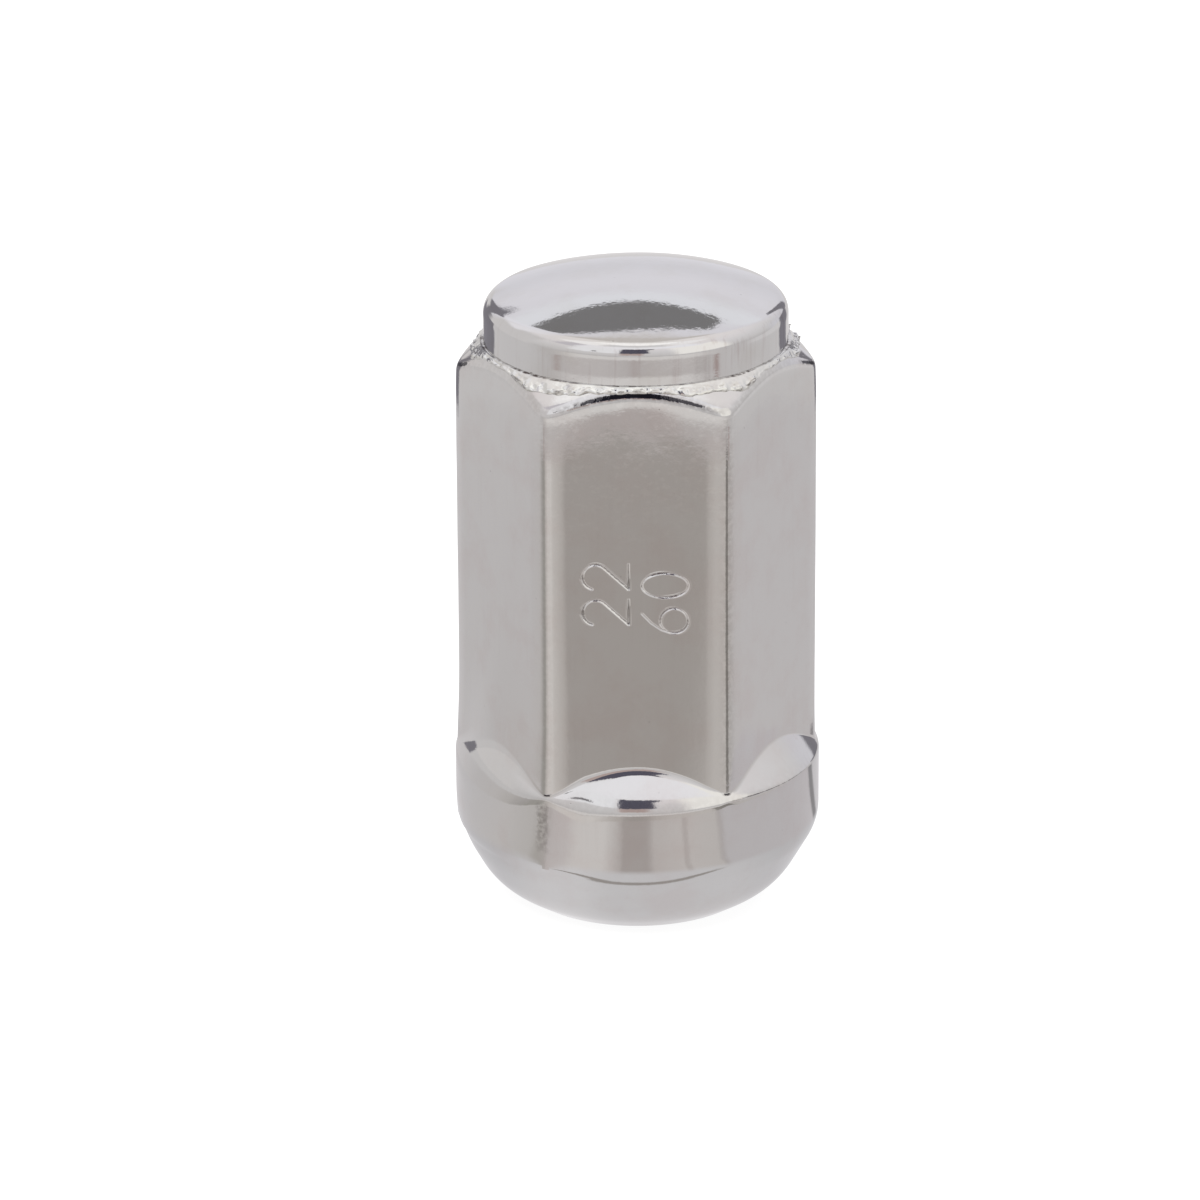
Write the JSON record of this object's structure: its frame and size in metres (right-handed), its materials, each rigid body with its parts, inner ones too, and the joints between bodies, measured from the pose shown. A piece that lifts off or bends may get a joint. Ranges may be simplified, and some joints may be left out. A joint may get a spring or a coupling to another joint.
{
  "type": "lug nut",
  "caption": "Closed-end wheel lug nut: hexagon with rounded corners, bulged foot with a conical seat, metric thread bored up from below, and a welded domed cap.",
  "frame": {"origin": "centre of the end face that goes towards the wheel, on the thread axis, at the lowest point of the nut", "axes": "+Z along the thread axis from the conical seat up to the domed cap; one flat of the hexagon faces -Y, and two corners lie on the X axis"},
  "size_m": [0.0254, 0.0254, 0.045],
  "materials": {
    "body_plating": "bright plating over a cold-forged body, polished but softly uneven",
    "cap_plating": "bright plating over a pressed cap, smooth"
  },
  "bodies": {
    "root": {"nut_body": "body_plating", "end_cap": "cap_plating"}
  },
  "joints": []
}
